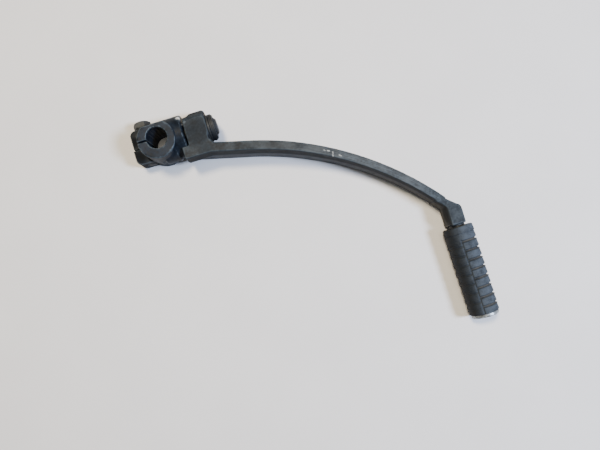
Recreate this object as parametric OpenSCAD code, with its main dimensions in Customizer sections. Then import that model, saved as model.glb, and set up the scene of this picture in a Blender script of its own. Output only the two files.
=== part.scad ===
// Folding kick start lever, lying folded as it is stored.
// Millimetres. The origin is on the shaft bore's axis, in the plane that the hub stands on.
// +Z runs along the bore, +X along the fold pivot towards the arm, and the foot peg points to -Y.

/* [Shaft clamp] */
// Radius of the shaft that the clamp grips, over the tips of the serrations
bore_r = 6.5; // [6:0.25:7.25]
// Outer radius of the raised boss round the bore
boss_r = 12; // [11.4:0.1:12]
// Distance that the boss is set off from the bore's axis, towards the slit
boss_shift_back = 0.6; // [0.6:0.1:1.2]
// Distance that the boss is set off from the bore's axis, away from the bolt's head
boss_shift_side = 0.8; // [0:0.1:1.2]
// Distance from the bore's axis to the flat of the boss on the bolt head's side
boss_flat = 8.9; // [8.7:0.1:11]
// Height of the boss
boss_h = 26.5; // [26:0.5:32]
// Number of serration grooves round the bore
serration_count = 24; // [16:1:30]
// Depth of each serration groove
serration_depth = 0.5; // [0.2:0.1:0.7]
// Width of the clamping slit
slit_w = 1.2; // [1:0.2:2.4]
// Distance from the bore's axis to the tip of the ear under the bolt's head
ear_reach = 18.8; // [17:0.2:22]
// Distance from the bore's axis to the tip of the threaded ear
far_ear_reach = 19.4; // [17:0.2:23]
// Distance from the slit's middle plane to the outer face of the ear under the bolt's head
ear_half_w = 12.4; // [11:0.2:13]
// Distance from the slit's middle plane to the outer face of the threaded ear
far_ear_half_w = 10; // [9.4:0.2:13]
// Height of the ears
ear_h = 12.8; // [12:0.2:13.8]
// Radius of the ears' upright corners
ear_corner_r = 3.6; // [1:0.2:4]

/* [Pinch bolt] */
// Height of the bolt's axis and of the middle of the ears
bolt_z = 7; // [7:0.2:12]
// Thread radius of the pinch bolt
bolt_r = 3; // [2.5:0.5:3]
// Width across the flats of the bolt's head
bolt_head_af = 10; // [8:0.5:11]
// Thickness of the bolt's head
bolt_head_h = 4; // [3:0.2:5]
// Wall left between the bolt's hole and the shaft bore
bolt_wall = 0.9; // [0.3:0.1:1]
// Thickness of the spring washer under the head
lock_washer_t = 1.5; // [1:0.1:2]
// Length of thread that stands out of the far ear
bolt_tail = 0.5; // [0:0.1:1.5]

/* [Fold pivot] */
// Height of the pivot axis above the plane that the hub stands on
pivot_z = 13; // [13:0.1:13.2]
// Radius of the hub's round neck about the pivot axis
neck_r = 13; // [12:0.1:13]
// Distance from the bore's axis to the neck's end face
neck_end = 16.3; // [15.8:0.1:17]
// Distance that the neck reaches past the bore's axis, towards the ears
neck_back = 4; // [3:0.5:5]
// Distance from the bore's axis to the end of the shoulder beside the neck
shoulder_end = 9.4; // [8:0.2:10.4]
// Distance that the shoulder stands out past the neck, on the side away from the bolt's head
shoulder_step = 1.3; // [0.4:0.1:1.6]
// Radius of the pivot pin
pin_r = 5.5; // [4.5:0.25:5.5]
// Depth of the pin's socket in the neck
pin_seat = 7.8; // [6:0.2:8]
// Length of the pin's bare end past the circlip
pin_nose = 1.6; // [1.2:0.1:4]
// Radial running clearance of the pin in the bush
running_gap = 0.04; // [0.02:0.01:0.08]
// Axial clearance at each side of the arm's barrel
side_gap = 0.1; // [0.05:0.05:0.3]
// Angle that the arm swings up from the folded place to the kicking place
fold_angle = 90; // [75:5:90]

/* [Washers and springs on the pin] */
// Thickness of the thrust washer between hub and arm
thrust_t = 0.8; // [0.8:0.1:1.6]
// Outer radius of the thrust washer between hub and arm
thrust_r = 6.8; // [6.4:0.1:6.9]
// Outer radius of the washers and disc springs at the pin's end
stack_r = 8.3; // [7.5:0.1:9.5]
// Thickness of the plain washer under the disc springs
plain_washer_t = 0.8; // [0.6:0.1:1.5]
// Number of disc springs
disc_spring_count = 3; // [3:1:3]
// Sheet thickness of one disc spring
disc_spring_t = 0.4; // [0.3:0.05:0.9]
// Cone height of one disc spring
disc_spring_cone = 0.2; // [0.1:0.05:0.5]
// Thickness of the retaining washer
retaining_washer_t = 0.6; // [0.5:0.1:1.2]
// Thickness of the circlip
circlip_t = 0.8; // [0.8:0.1:1.2]
// Radial width of the circlip outside its groove
circlip_w = 2.1; // [1.5:0.1:2.6]
// Depth of the circlip's groove
circlip_groove = 0.7; // [0.4:0.1:0.9]
// Angle of the circlip's opening round the pin, from +Y towards +Z
circlip_turn = 200; // [0:5:355]

/* [Stop and detent] */
// Distance of the stop pin and of the detent ball from the pivot axis
track_r = 9.3; // [9.2:0.1:9.5]
// Radius of the stop pin
stop_pin_r = 1.3; // [1:0.1:1.4]
// Depth of the stop pin's seat in the neck
stop_pin_seat = 5; // [4:0.5:7]
// Depth of the stop pin's groove in the arm
stop_track_depth = 2.4; // [1.8:0.2:3]
// Radius of the detent ball
ball_r = 2.2; // [2:0.1:2.2]
// Height that the ball stands out past the gap into its track
ball_reach = 0.5; // [0.3:0.1:0.8]
// Depth of the ball's track in the arm
ball_track_depth = 0.8; // [0.8:0.1:1.2]
// Depth of the pocket that holds the ball and its spring
pocket_depth = 7; // [6:0.5:7]
// Wire radius of the detent spring
spring_wire_r = 0.3; // [0.2:0.05:0.4]
// Number of turns of the detent spring
spring_turns = 4; // [3:1:5]

/* [Arm] */
// Depth of the step in the barrel's side, next to the neck
notch_depth = 3.8; // [2:0.2:4]
// Length of that step along the pivot
notch_len = 6.2; // [4:0.2:8]
// Length of the arm's barrel along the pivot
barrel_len = 14; // [12:0.2:18]
// Outer radius of the barrel
barrel_r = 12; // [11.4:0.1:12.2]
// Wall of the bush in the barrel
bush_wall = 1.2; // [0.8:0.1:1.4]
// Height of the arm's blade at the barrel
blade_h = 22.2; // [20:0.2:23]
// Distance that the blade's middle lies below the pivot axis
blade_sink = 0.6; // [0:0.1:1]
// Height of the blade at the elbow
blade_tip_h = 15.4; // [14:0.2:18]
// Thickness of the blade at the start of its curve
blade_t = 5.9; // [5:0.1:7]
// Loss of thickness along the curve, as a shift between the centres of its two faces
blade_taper = 1.6; // [0:0.1:2]
// Distance from the pivot axis out to the middle of the blade, at the barrel's inner face
blade_offset = 11.4; // [11:0.2:13]
// Angle between the blade's straight start and the pivot axis
blade_lean = 14; // [10:1:18]
// Length of the blade's straight start
shank_len = 35; // [30:1:45]
// Radius of the blade's curve
curve_r = 204.7; // [180:1:240]
// Angle that the curve turns through
curve_angle = 36.6; // [30:0.2:40]
// Distance along X over which the blade keeps its full height
full_h_run = 80; // [60:5:110]
// Length of the lug that reaches back over the hub's neck
lug_len = 4.7; // [3:0.1:4.8]
// Clearance between the lug and the neck
lug_gap = 1.1; // [1:0.1:2]
// Distance from the pivot axis to the lug's outer face
lug_reach = 17.4; // [16.5:0.1:18.5]
// Distance that the lug's lower edge lies back from its outer face
lug_under = 4.5; // [1:0.1:6]

/* [Elbow and peg] */
// Width of the elbow across the peg's axis
elbow_w = 9.2; // [8.8:0.2:12]
// Length of the elbow along the peg's axis, from the end of the blade's curve
elbow_len = 17; // [15:0.5:20]
// Height of the elbow
elbow_h = 17; // [16:0.2:18]
// Distance from the end of the blade's curve to the peg's axis, along X
peg_shift = 6.4; // [5.5:0.1:7.5]
// Angle that the peg leans outwards
peg_splay = 1; // [0:0.5:3]
// Radius of the peg's steel rod
rod_r = 5; // [4.5:0.1:6]
// Radius of the spigot that holds the rod in the elbow
spigot_r = 3; // [2.5:0.1:3.2]
// Length of that spigot
spigot_len = 7; // [5:0.5:9]
// Length of bare rod between the elbow and the rubber
rod_bare = 1.6; // [0.4:0.1:3]

/* [Pedal rubber] */
// Radius of the rubber over its ribs
rubber_r = 9.8; // [9:0.1:12]
// Length of the rubber
rubber_len = 58; // [45:1:80]
// Length of the plain collar next to the elbow
collar_len = 8.6; // [6:0.2:12]
// Depth of the grooves between the ribs
rib_depth = 1.1; // [0.6:0.1:1.6]
// Number of grooves
rib_count = 8; // [6:1:10]
// Width of each groove
rib_gap = 1.7; // [1:0.1:2.5]
// Width of the two lengthwise channels that part the ribs
channel_w = 2.6; // [1.5:0.1:4]
// Angle of the channels round the rubber, from straight up towards the hub
channel_turn = 19; // [0:1:45]
// Thickness of the steel disc at the rubber's end
end_disc_t = 2.2; // [1.5:0.1:3]
// Radius of the steel disc
end_disc_r = 8.8; // [7.5:0.1:11]
// Thread radius of the countersunk screw that holds the disc
end_screw_r = 2; // [1.5:0.25:2]
// Depth of the tapped hole for that screw
end_hole_depth = 10; // [8.5:0.5:14]

/* [Hidden] */
$fn = 96;

// Small overshoot of a cutting shape past the face that it opens
cut = 1;
// Chamfer of turned and forged edges
edge = 0.7;
// Chamfer of the boss's upper rim
boss_rim = 0.4;
// Radial clearance of a fixed pin, screw or rubber in its seat
seat_gap = 0.02;
// Smallest gap between hub and arm at the two ends of the swing
stop_gap = 0.3;

// Colours
painted_steel = [0.27, 0.30, 0.31];
bare_steel = [0.45, 0.46, 0.47];
dark_steel = [0.18, 0.18, 0.18];
bronze = [0.62, 0.48, 0.27];
black_rubber = [0.12, 0.12, 0.13];

// Pinch bolt
bolt_clear_r = bolt_r + 0.2;
bolt_x = -(bore_r + bolt_wall + bolt_clear_r);
bolt_head_y = ear_half_w + lock_washer_t;
ear_z = bolt_z - ear_h / 2;

// Places along the pivot axis
barrel_x = neck_end + thrust_t + 2 * side_gap;
barrel_end = barrel_x + barrel_len;
plain_washer_x = barrel_end + side_gap;
disc_spring_x = plain_washer_x + plain_washer_t;
disc_spring_pitch = disc_spring_t + disc_spring_cone;
retaining_washer_x = disc_spring_x + disc_spring_count * disc_spring_pitch;
circlip_x = retaining_washer_x + retaining_washer_t;
pin_end = circlip_x + circlip_t + pin_nose;
washer_bore_r = pin_r + 0.1;
bush_bore_r = pin_r + running_gap;
bush_r = bush_bore_r + bush_wall;

// Stop pin and detent ball: angles about the pivot axis from +Y towards +Z
stop_angle = 62;
ball_angle = 218;
// Extra swing that the stop track leaves past each end of the travel
stop_slack = 2;
ball_x = barrel_x + ball_reach - ball_r;
ball_pocket_r = ball_r + 0.05;
ball_track_r = ball_r * 0.8;
pocket_x = neck_end - pocket_depth;
spring_coil_r = ball_pocket_r - spring_wire_r - 0.15;
spring_x = pocket_x + spring_wire_r;
spring_len = ball_x - sqrt(ball_r * ball_r - spring_coil_r * spring_coil_r) - 1.6 * spring_wire_r - spring_x;

// Blade, in plan
blade_start = [barrel_x, -blade_offset];
curve_start = blade_start + shank_len * [cos(blade_lean), -sin(blade_lean)];
curve_centre = curve_start - curve_r * [sin(blade_lean), cos(blade_lean)];
outer_face_r = curve_r + blade_t / 2;
inner_face_r = curve_r - blade_t / 2 - blade_taper * sin(blade_lean);
curve_end_angle = blade_lean + curve_angle;
curve_end = curve_centre + curve_r * [sin(curve_end_angle), cos(curve_end_angle)];

// Distance from the curve's centre to the blade's inner face, in the direction a
function inner_reach(a) =
    blade_taper * sin(a) + sqrt(pow(inner_face_r, 2) - pow(blade_taper * cos(a), 2));

// Point at the distance r from the curve's centre, in the direction a
function on_curve(a, r) = curve_centre + r * [sin(a), cos(a)];

// Heights of the blade's edges
blade_top = pivot_z - blade_sink + blade_h / 2;
blade_bottom = blade_top - blade_h;

// Elbow and peg
peg_x = curve_end[0] + peg_shift;
peg_z = rubber_r;
elbow_end_y = curve_end[1] - elbow_len;
elbow_x = peg_x - elbow_w / 2 - 0.6;
elbow_z = peg_z - elbow_h / 2;
blade_tip_top = elbow_z + elbow_h;
blade_tip_bottom = blade_tip_top - blade_tip_h;
rubber_start = rod_bare;
rod_len = rod_bare + rubber_len;
rib_pitch = (rubber_len - collar_len) / rib_count;

// Places its children on the pivot axis: their x becomes +Y, their y +Z and their z +X
module on_pivot(x = 0) {
    translate([x, 0, pivot_z])
        rotate([0, 90, 0])
            rotate([0, 0, 90])
                children();
}

// Places its children on the peg's axis: their z points out along the peg, from the elbow's end
// face, and their y points up
module on_peg(along = 0) {
    translate([peg_x, elbow_end_y, peg_z])
        rotate([0, 0, peg_splay])
            rotate([90, 0, 0])
                translate([0, 0, along])
                    children();
}

// Washer from z = 0 up
module ring(outer_r, inner_r, thickness) {
    difference() {
        cylinder(r = outer_r, h = thickness);
        translate([0, 0, -cut])
            cylinder(r = inner_r, h = thickness + 2 * cut);
    }
}

// Turned bar from z = 0 up, with a chamfer at each end
module turned(r, h, bottom_chamfer, top_chamfer) {
    rotate_extrude()
        polygon([
            [0, 0], [r - bottom_chamfer, 0], [r, bottom_chamfer],
            [r, h - top_chamfer], [r - top_chamfer, h], [0, h]
        ]);
}

// Rectangle from one corner to the opposite one, with round corners
module rounded_rectangle(low, high, r) {
    translate([low[0] + r, low[1]])
        square([high[0] - low[0] - 2 * r, high[1] - low[1]]);
    translate([low[0], low[1] + r])
        square([high[0] - low[0], high[1] - low[1] - 2 * r]);
    for (x = [low[0] + r, high[0] - r], y = [low[1] + r, high[1] - r])
        translate([x, y])
            circle(r = r);
}

// Round-ended slot that runs in an arc about the z axis, from z = 0 up. The ends are a hair wider
// than the run, so that no two faces meet at a tangent.
module arc_slot(radius, half_w, depth, from, sweep) {
    run_half_w = 0.97 * half_w;
    rotate([0, 0, from])
        rotate_extrude(angle = sweep)
            translate([radius - run_half_w, 0])
                square([2 * run_half_w, depth]);
    for (a = [from, from + sweep])
        rotate([0, 0, a])
            translate([radius, 0, 0])
                cylinder(r = half_w, h = depth);
}

// Serrated bore: the shaft's hole with pointed grooves, left plain beside the bolt's hole
module serrated_bore() {
    groove_half_w = bore_r * sin(90 / serration_count);
    plain_angle = 34;
    translate([0, 0, -cut])
        cylinder(r = bore_r, h = boss_h + 2 * cut);
    for (i = [0:serration_count - 1]) {
        a = (i + 0.5) * 360 / serration_count;
        if (abs(a - 180) > plain_angle)
            rotate([0, 0, a])
                translate([0, 0, -cut])
                    linear_extrude(height = boss_h + 2 * cut)
                        polygon([
                            [bore_r - 1, -groove_half_w],
                            [bore_r, -groove_half_w],
                            [bore_r + serration_depth, 0],
                            [bore_r, groove_half_w],
                            [bore_r - 1, groove_half_w]
                        ]);
    }
}

// Upright boss round the bore, before the bore is cut
module boss() {
    intersection() {
        translate([-boss_shift_back, -boss_shift_side, 0])
            turned(boss_r, boss_h, edge, boss_rim);
        translate([-2 * boss_r, boss_flat - 3 * boss_r, 0])
            cube([4 * boss_r, 3 * boss_r, boss_h]);
    }
}

// Shoulder beside the neck, which runs out of the boss in a cone
module shoulder() {
    run_out = 3;
    on_pivot(-run_out)
        translate([-shoulder_step, 0, 0])
            turned(neck_r, shoulder_end + run_out, run_out, edge);
}

// Hub: upright boss, neck along the pivot, shoulder and two clamp ears, in one forging
module clamp_hub() {
    color(painted_steel)
        difference() {
            union() {
                boss();
                on_pivot(-neck_back)
                    turned(neck_r, neck_end + neck_back, edge, edge);
                shoulder();
                translate([0, 0, ear_z])
                    linear_extrude(height = ear_h) {
                        rounded_rectangle([-ear_reach, 0], [0, ear_half_w], ear_corner_r);
                        translate([-ear_reach, 0])
                            square([ear_reach, ear_corner_r]);
                        rounded_rectangle([-far_ear_reach, -far_ear_half_w], [0, 0], ear_corner_r);
                        translate([-far_ear_reach, -ear_corner_r])
                            square([far_ear_reach, ear_corner_r]);
                    }
            }
            serrated_bore();
            translate([-far_ear_reach - cut, -slit_w / 2, -cut])
                cube([far_ear_reach + cut, slit_w, boss_h + 2 * cut]);
            translate([bolt_x, ear_half_w + cut, bolt_z])
                rotate([90, 0, 0])
                    cylinder(r = bolt_clear_r, h = ear_half_w + cut);
            translate([bolt_x, cut, bolt_z])
                rotate([90, 0, 0])
                    cylinder(r = bolt_r + seat_gap, h = ear_half_w + 2 * cut);
            on_pivot(neck_end - pin_seat)
                cylinder(r = pin_r + seat_gap, h = pin_seat + cut);
            on_pivot(pocket_x)
                rotate([0, 0, ball_angle])
                    translate([track_r, 0, 0])
                        cylinder(r = ball_pocket_r, h = pocket_depth + cut);
            on_pivot(neck_end - stop_pin_seat)
                rotate([0, 0, stop_angle])
                    translate([track_r, 0, 0])
                        cylinder(r = stop_pin_r + seat_gap, h = stop_pin_seat + cut);
        }
}

// Hexagon-headed pinch bolt, which passes one ear and screws into the other
module pinch_bolt() {
    head_r = bolt_head_af / 2 / cos(30);
    color(bare_steel)
        translate([bolt_x, bolt_head_y, bolt_z])
            rotate([90, 0, 0]) {
                translate([0, 0, -cut])
                    turned(bolt_r - seat_gap, cut + bolt_head_y + far_ear_half_w + bolt_tail, 0.1, edge);
                intersection() {
                    translate([0, 0, -bolt_head_h])
                        rotate([0, 0, 30])
                            cylinder(r = head_r, h = bolt_head_h, $fn = 6);
                    translate([0, 0, -bolt_head_h])
                        turned(head_r, bolt_head_h, edge, 0.01);
                }
            }
}

// Split spring washer under the bolt's head
module lock_washer() {
    split_w = 1;
    outer_r = bolt_head_af / 2 + 0.3;
    color(dark_steel)
        translate([bolt_x, bolt_head_y, bolt_z])
            rotate([90, 0, 0])
                difference() {
                    ring(outer_r, bolt_r + 0.2, lock_washer_t);
                    rotate([0, 0, 60])
                        translate([0, -split_w / 2, -cut])
                            cube([outer_r + cut, split_w, lock_washer_t + 2 * cut]);
                }
}

// Pivot pin, pressed into the neck, with a circlip groove near its domed nose
module pivot_pin() {
    color(bare_steel)
        on_pivot(neck_end - pin_seat)
            difference() {
                turned(pin_r, pin_end - neck_end + pin_seat, edge, 1.1);
                translate([0, 0, circlip_x - neck_end + pin_seat])
                    ring(pin_r + cut, pin_r - circlip_groove, circlip_t);
            }
}

// Dowel in the neck's face that ends the swing in the arm's curved track
module stop_pin() {
    reach = stop_pin_seat + barrel_x - neck_end + stop_track_depth - stop_gap;
    color(bare_steel)
        on_pivot(neck_end - stop_pin_seat)
            rotate([0, 0, stop_angle])
                translate([track_r, 0, 0])
                    turned(stop_pin_r, reach, 0.2, 0.3);
}

// Ball that holds the arm at each end of its swing
module detent_ball() {
    color(bare_steel)
        on_pivot(ball_x)
            rotate([0, 0, ball_angle])
                translate([track_r, 0, 0])
                    sphere(r = ball_r);
}

// Coil spring behind the ball, as one tube swept along a helix
module detent_spring() {
    sides = 6;
    per_turn = 14;
    steps = spring_turns * per_turn;
    function centre(i) = [
        spring_coil_r * cos(i * 360 / per_turn),
        spring_coil_r * sin(i * 360 / per_turn),
        spring_len * i / steps
    ];
    function rim(i, j) = centre(i) + spring_wire_r * (
        cos(j * 360 / sides) * [cos(i * 360 / per_turn), sin(i * 360 / per_turn), 0]
        + [0, 0, sin(j * 360 / sides)]
    );
    points = [for (i = [0:steps], j = [0:sides - 1]) rim(i, j)];
    walls = [
        for (i = [0:steps - 1], j = [0:sides - 1])
            [i * sides + j, (i + 1) * sides + j, (i + 1) * sides + (j + 1) % sides, i * sides + (j + 1) % sides]
    ];
    first_end = [[for (j = [0:sides - 1]) j]];
    last_end = [[for (j = [0:sides - 1]) steps * sides + sides - 1 - j]];
    color(bare_steel)
        on_pivot(spring_x)
            rotate([0, 0, ball_angle])
                translate([track_r, 0, 0])
                    polyhedron(points, concat(walls, first_end, last_end));
}

// Thrust washer between the neck and the barrel
module thrust_washer() {
    color(bare_steel)
        on_pivot(neck_end + side_gap)
            ring(thrust_r, washer_bore_r, thrust_t);
}

// Plain washer between the barrel and the disc springs
module plain_washer() {
    color(bare_steel)
        on_pivot(plain_washer_x)
            ring(stack_r, washer_bore_r, plain_washer_t);
}

// Coned disc spring number i of the stack, turned over at every second place
module disc_spring(i) {
    rise = i % 2 == 0 ? disc_spring_cone : 0;
    fall = disc_spring_cone - rise;
    color(dark_steel)
        on_pivot(disc_spring_x + i * disc_spring_pitch)
            rotate_extrude()
                polygon([
                    [washer_bore_r, rise], [stack_r, fall],
                    [stack_r, fall + disc_spring_t], [washer_bore_r, rise + disc_spring_t]
                ]);
}

// Washer between the disc springs and the circlip
module retaining_washer() {
    color(bare_steel)
        on_pivot(retaining_washer_x)
            ring(stack_r, washer_bore_r, retaining_washer_t);
}

// Circlip: an open ring whose two ends carry eyes
module circlip() {
    opening = 26;
    eye_r = 1.4;
    eye_hole_r = 0.6;
    eye_angles = [-opening / 2 - 9, opening / 2 + 9];
    inner_r = pin_r - circlip_groove + seat_gap;
    outer_r = pin_r + circlip_w;
    eye_place_r = outer_r - 0.9;
    color(dark_steel)
        on_pivot(circlip_x)
            rotate([0, 0, circlip_turn])
                difference() {
                    union() {
                        rotate([0, 0, opening / 2])
                            rotate_extrude(angle = 360 - opening)
                                translate([inner_r, 0])
                                    square([outer_r - inner_r, circlip_t]);
                        for (a = eye_angles)
                            rotate([0, 0, a])
                                translate([eye_place_r, 0, 0])
                                    cylinder(r = eye_r, h = circlip_t, $fn = 32);
                    }
                    for (a = eye_angles)
                        rotate([0, 0, a])
                            translate([eye_place_r, 0, -cut])
                                cylinder(r = eye_hole_r, h = circlip_t + 2 * cut, $fn = 24);
                }
}

// Plan outline of the blade: a straight start and a curve between two arcs
module blade_plan() {
    a0 = blade_lean;
    a1 = curve_end_angle;
    far = outer_face_r * 1.2;
    back = shank_len * [cos(a0), -sin(a0)];
    intersection() {
        difference() {
            translate(curve_centre)
                circle(r = outer_face_r, $fn = 360);
            translate(curve_centre + [blade_taper, 0])
                circle(r = inner_face_r, $fn = 360);
        }
        polygon([curve_centre, on_curve(a0, far), on_curve((a0 + a1) / 2, far), on_curve(a1, far)]);
    }
    polygon([
        on_curve(a0, outer_face_r), on_curve(a0, outer_face_r) - back,
        on_curve(a0, inner_reach(a0)) - back, on_curve(a0, inner_reach(a0))
    ]);
}

// Height in plan of the elbow's end face at x, square to the peg
function elbow_face_y(x) = elbow_end_y + (x - peg_x) * tan(peg_splay);

// Plan outline of the elbow
module elbow_plan() {
    right = elbow_x + elbow_w;
    tip_in = on_curve(curve_end_angle, inner_reach(curve_end_angle));
    tip_out = on_curve(curve_end_angle, outer_face_r);
    polygon([
        tip_in, tip_in + [-3, 2.5], tip_out + [-3, 2.2], tip_out + [0.4, -1.4],
        [right - 2.6, tip_out[1] - 5.8], [right - 1, tip_out[1] - 6.8], [right - 0.2, tip_out[1] - 8.4],
        [right, tip_out[1] - 10.4], [right, elbow_face_y(right)], [elbow_x, elbow_face_y(elbow_x)],
        [elbow_x, tip_in[1] - 3.4]
    ]);
}

// Side outline of the blade, x along the lever and y up
module blade_side() {
    polygon([
        [neck_end - lug_len, blade_bottom], [full_h_run, blade_bottom],
        [curve_end[0], blade_tip_bottom], [peg_x + elbow_w, blade_tip_bottom],
        [peg_x + elbow_w, blade_tip_top], [curve_end[0], blade_tip_top],
        [full_h_run, blade_top], [neck_end - lug_len, blade_top]
    ]);
}

// Height in plan of the blade's straight outer and inner faces at x, before its curve
function outer_face_y(x) = -blade_offset + blade_t / 2 / cos(blade_lean) - (x - barrel_x) * tan(blade_lean);
function inner_face_y(x) = outer_face_y(x) - blade_t / cos(blade_lean);

// Barrel and the web that carries the blade, before any hole
module knuckle_body() {
    fillet_r = 3.2;
    fillet_x = barrel_end + fillet_r;
    foot_x = fillet_x - fillet_r * sin(blade_lean);
    fillet_y = outer_face_y(foot_x) + fillet_r * cos(blade_lean);
    intersection() {
        union() {
            on_pivot(barrel_x)
                turned(barrel_r, barrel_len, 0.4, 1);
            linear_extrude(height = blade_top)
                difference() {
                    polygon([
                        [barrel_x, -5], [barrel_x, inner_face_y(barrel_x)],
                        [foot_x, inner_face_y(foot_x)], [foot_x, outer_face_y(foot_x)],
                        [foot_x, fillet_y], [barrel_end - 1, fillet_y], [barrel_end - 1, -5]
                    ]);
                    translate([fillet_x, fillet_y])
                        circle(r = fillet_r);
                }
        }
        translate([barrel_x - cut, -lug_reach - 10, blade_bottom])
            cube([barrel_len + 20, 2 * lug_reach + 10, blade_h]);
    }
}

// Lug that reaches back from the barrel, beside the neck: upright outside down to the pivot's
// height, and drafted inwards below it
module lug() {
    root = (lug_reach + inner_face_y(barrel_x)) / tan(blade_lean) + 2;
    inner_y = 8;
    difference() {
        on_pivot(barrel_x - lug_len)
            linear_extrude(height = lug_len + root)
                polygon([
                    [-inner_y, blade_bottom - pivot_z], [lug_under - lug_reach, blade_bottom - pivot_z],
                    [-lug_reach, -2], [-lug_reach, blade_top - pivot_z], [-inner_y, blade_top - pivot_z]
                ]);
        on_pivot(barrel_x - lug_len - cut)
            cylinder(r = neck_r + lug_gap, h = lug_len + root + 2 * cut);
    }
}

// Arm: barrel, lug, curved blade and elbow, in one forging
module lever_arm() {
    color(painted_steel)
        difference() {
            union() {
                knuckle_body();
                lug();
                intersection() {
                    linear_extrude(height = blade_top)
                        blade_plan();
                    rotate([90, 0, 0])
                        linear_extrude(height = 2 * curve_r)
                            blade_side();
                }
                translate([0, 0, elbow_z])
                    linear_extrude(height = elbow_h)
                        elbow_plan();
            }
            on_pivot(barrel_x - cut)
                cylinder(r = bush_r + seat_gap, h = barrel_len + 2 * cut);
            on_pivot(barrel_x - cut)
                arc_slot(track_r, stop_pin_r + stop_gap, stop_track_depth + cut,
                    stop_angle - stop_slack, fold_angle + 2 * stop_slack);
            on_pivot(barrel_x - cut)
                arc_slot(track_r, ball_track_r, ball_track_depth + cut,
                    ball_angle, fold_angle);
            translate([barrel_x, barrel_r, 0])
                linear_extrude(height = blade_top + cut)
                    polygon([
                        [-cut, -notch_depth], [notch_len / 2, 0.6 - notch_depth],
                        [notch_len, cut], [-cut, cut]
                    ]);
            on_peg(-spigot_len)
                cylinder(r = spigot_r + seat_gap, h = spigot_len + cut);
        }
}

// Plain bearing bush pressed into the barrel
module pivot_bush() {
    color(bronze)
        on_pivot(barrel_x)
            ring(bush_r, bush_bore_r, barrel_len);
}

// Steel rod of the peg, with its spigot in the elbow and a tapped hole in its far end
module peg_rod() {
    color(painted_steel)
        difference() {
            union() {
                on_peg()
                    turned(rod_r, rod_len, 0.3, 0.3);
                on_peg(-spigot_len)
                    turned(spigot_r, spigot_len + cut, 0.3, 0.01);
            }
            on_peg(rod_len - end_hole_depth)
                cylinder(r = end_screw_r + seat_gap, h = end_hole_depth + cut);
        }
}

// Turns its children round the peg's axis
module rotate_about_peg(angle) {
    on_peg()
        rotate([0, 0, angle])
            children();
}

// Groove round half of the rubber
module half_groove() {
    rotate([0, 0, 180])
        rotate_extrude(angle = 180)
            translate([rubber_r - rib_depth, 0])
                square([rib_depth + cut, rib_gap]);
}

// Ribbed rubber: a sleeve with a plain collar, and ribs that two channels part and stagger
module pedal_rubber() {
    color(black_rubber)
        difference() {
            on_peg(rubber_start)
                turned(rubber_r, rubber_len, 0.9, 0.9);
            on_peg(rubber_start - cut)
                cylinder(r = rod_r + seat_gap, h = rubber_len + 2 * cut);
            for (side = [0, 1])
                rotate_about_peg(90 + channel_turn + 180 * side) {
                    for (i = [0:rib_count - 1 - side])
                        translate([0, 0, rubber_start + collar_len + (i + side / 2) * rib_pitch])
                            half_groove();
                    translate([rubber_r - rib_depth, -channel_w / 2, rubber_start + collar_len])
                        cube([rib_depth + cut, channel_w, rubber_len]);
                }
        }
}

// Steel disc that keeps the rubber on
module end_disc() {
    head_r = 2 * end_screw_r;
    color(bare_steel)
        on_peg(rod_len)
            difference() {
                turned(end_disc_r, end_disc_t, 0.2, 0.6);
                translate([0, 0, -cut])
                    cylinder(r = end_screw_r + 0.1, h = end_disc_t + 2 * cut);
                translate([0, 0, end_disc_t - end_screw_r])
                    cylinder(r1 = end_screw_r, r2 = head_r, h = end_screw_r);
            }
}

// Countersunk screw in the rod's end
module end_screw() {
    head_r = 2 * end_screw_r - 0.1;
    color(bare_steel)
        on_peg(rod_len + end_disc_t - end_screw_r)
            difference() {
                rotate_extrude()
                    polygon([
                        [0, -8], [end_screw_r - 0.4, -8], [end_screw_r, -7.6], [end_screw_r, 0.1],
                        [head_r, end_screw_r], [0, end_screw_r]
                    ]);
                translate([-head_r, -0.5, end_screw_r - 0.9])
                    cube([2 * head_r, 1, 2]);
            }
}

clamp_hub();
pinch_bolt();
lock_washer();
pivot_pin();
stop_pin();
detent_ball();
detent_spring();
thrust_washer();
plain_washer();
for (i = [0:disc_spring_count - 1])
    disc_spring(i);
retaining_washer();
circlip();
lever_arm();
pivot_bush();
peg_rod();
pedal_rubber();
end_disc();
end_screw();
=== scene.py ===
"""Looks of a folding kick start lever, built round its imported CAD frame.

Sizes in the dataclasses are millimetres and meshes are metres. The row frame has its origin on the
shaft bore, +X along the fold pivot towards the arm and +Z up from the floor.
"""

import logging
import math
from dataclasses import dataclass
from enum import Enum
from functools import reduce

import bmesh
import bpy
import numpy as np
from mathutils import Matrix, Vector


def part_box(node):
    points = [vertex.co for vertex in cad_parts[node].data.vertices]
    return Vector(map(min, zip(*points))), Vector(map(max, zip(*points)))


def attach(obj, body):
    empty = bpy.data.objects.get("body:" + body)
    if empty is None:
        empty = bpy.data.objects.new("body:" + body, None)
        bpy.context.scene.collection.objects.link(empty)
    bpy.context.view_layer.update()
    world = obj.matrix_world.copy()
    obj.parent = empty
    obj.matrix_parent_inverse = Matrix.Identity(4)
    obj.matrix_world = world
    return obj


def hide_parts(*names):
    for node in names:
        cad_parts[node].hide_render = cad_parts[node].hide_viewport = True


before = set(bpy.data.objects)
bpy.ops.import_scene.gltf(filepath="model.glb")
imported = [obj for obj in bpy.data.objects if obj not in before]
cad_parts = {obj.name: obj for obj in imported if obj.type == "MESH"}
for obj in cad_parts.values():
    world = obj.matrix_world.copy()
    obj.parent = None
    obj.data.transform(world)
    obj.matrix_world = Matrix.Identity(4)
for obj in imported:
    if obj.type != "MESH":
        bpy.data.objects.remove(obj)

log = logging.getLogger("kick_start_lever")
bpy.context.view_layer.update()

MM = 0.001
TINY = 1e-9  # least length to divide by
Colour = tuple[float, float, float]
Point = tuple[float, float, float]
Span = tuple[float, float]  # where a smooth step starts and where it is complete
VECTOR = np.zeros(3, np.float32)
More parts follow.
